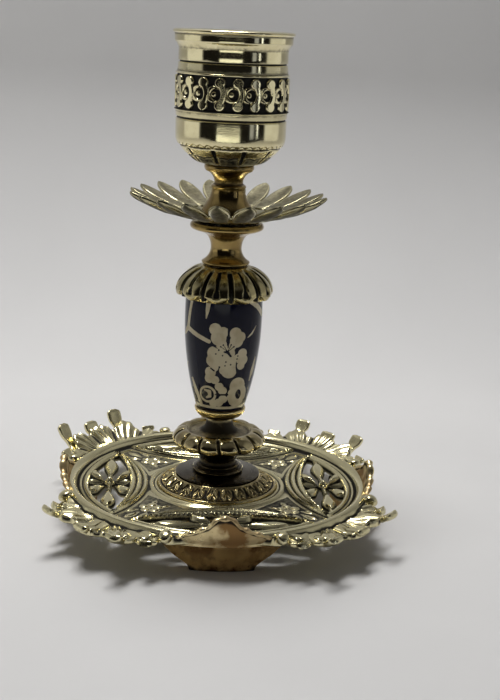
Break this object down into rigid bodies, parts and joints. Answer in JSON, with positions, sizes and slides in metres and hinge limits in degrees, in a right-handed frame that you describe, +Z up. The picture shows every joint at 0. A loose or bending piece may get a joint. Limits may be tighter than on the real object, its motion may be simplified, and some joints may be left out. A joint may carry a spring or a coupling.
{
  "type": "candlestick",
  "caption": "Turned and cast brass candlestick with a lotus drip pan, a glazed ceramic barrel and a pierced square-footed round tray with palmette corners.",
  "frame": {"origin": "on the stem's axis at table level, under the middle of the tray", "axes": "+Z up along the stem; the tray's four lips and feet lie on X and Y, with foot_front on -Y; the palmettes lie on the diagonals"},
  "size_m": [0.0988, 0.0988, 0.14],
  "materials": {
    "polished_brass": "polished, dark patina in the recesses",
    "dark_brass": "polished over a brown patina",
    "foot_brass": "dull, handled, brown",
    "glazed_barrel": "glossy dark blue glaze with pale blossom",
    "cork": "pressed cork",
    "plain_steel": "plain turned steel"
  },
  "bodies": {
    "root": {"candle_socket": "polished_brass", "socket_stem": "dark_brass", "drip_pan": "polished_brass", "pan_spool": "dark_brass", "barrel_cap": "polished_brass", "upper_seat_washer": "cork", "ceramic_barrel": "glazed_barrel", "lower_seat_washer": "cork", "barrel_ferrule": "polished_brass", "knop": "polished_brass", "pedestal": "dark_brass", "stem_foot": "dark_brass", "base_tray": "polished_brass", "tie_rod": "plain_steel", "base_washer": "plain_steel", "base_nut": "plain_steel", "foot_front": "foot_brass", "foot_right": "foot_brass", "foot_back": "foot_brass", "foot_left": "foot_brass"}
  },
  "joints": []
}
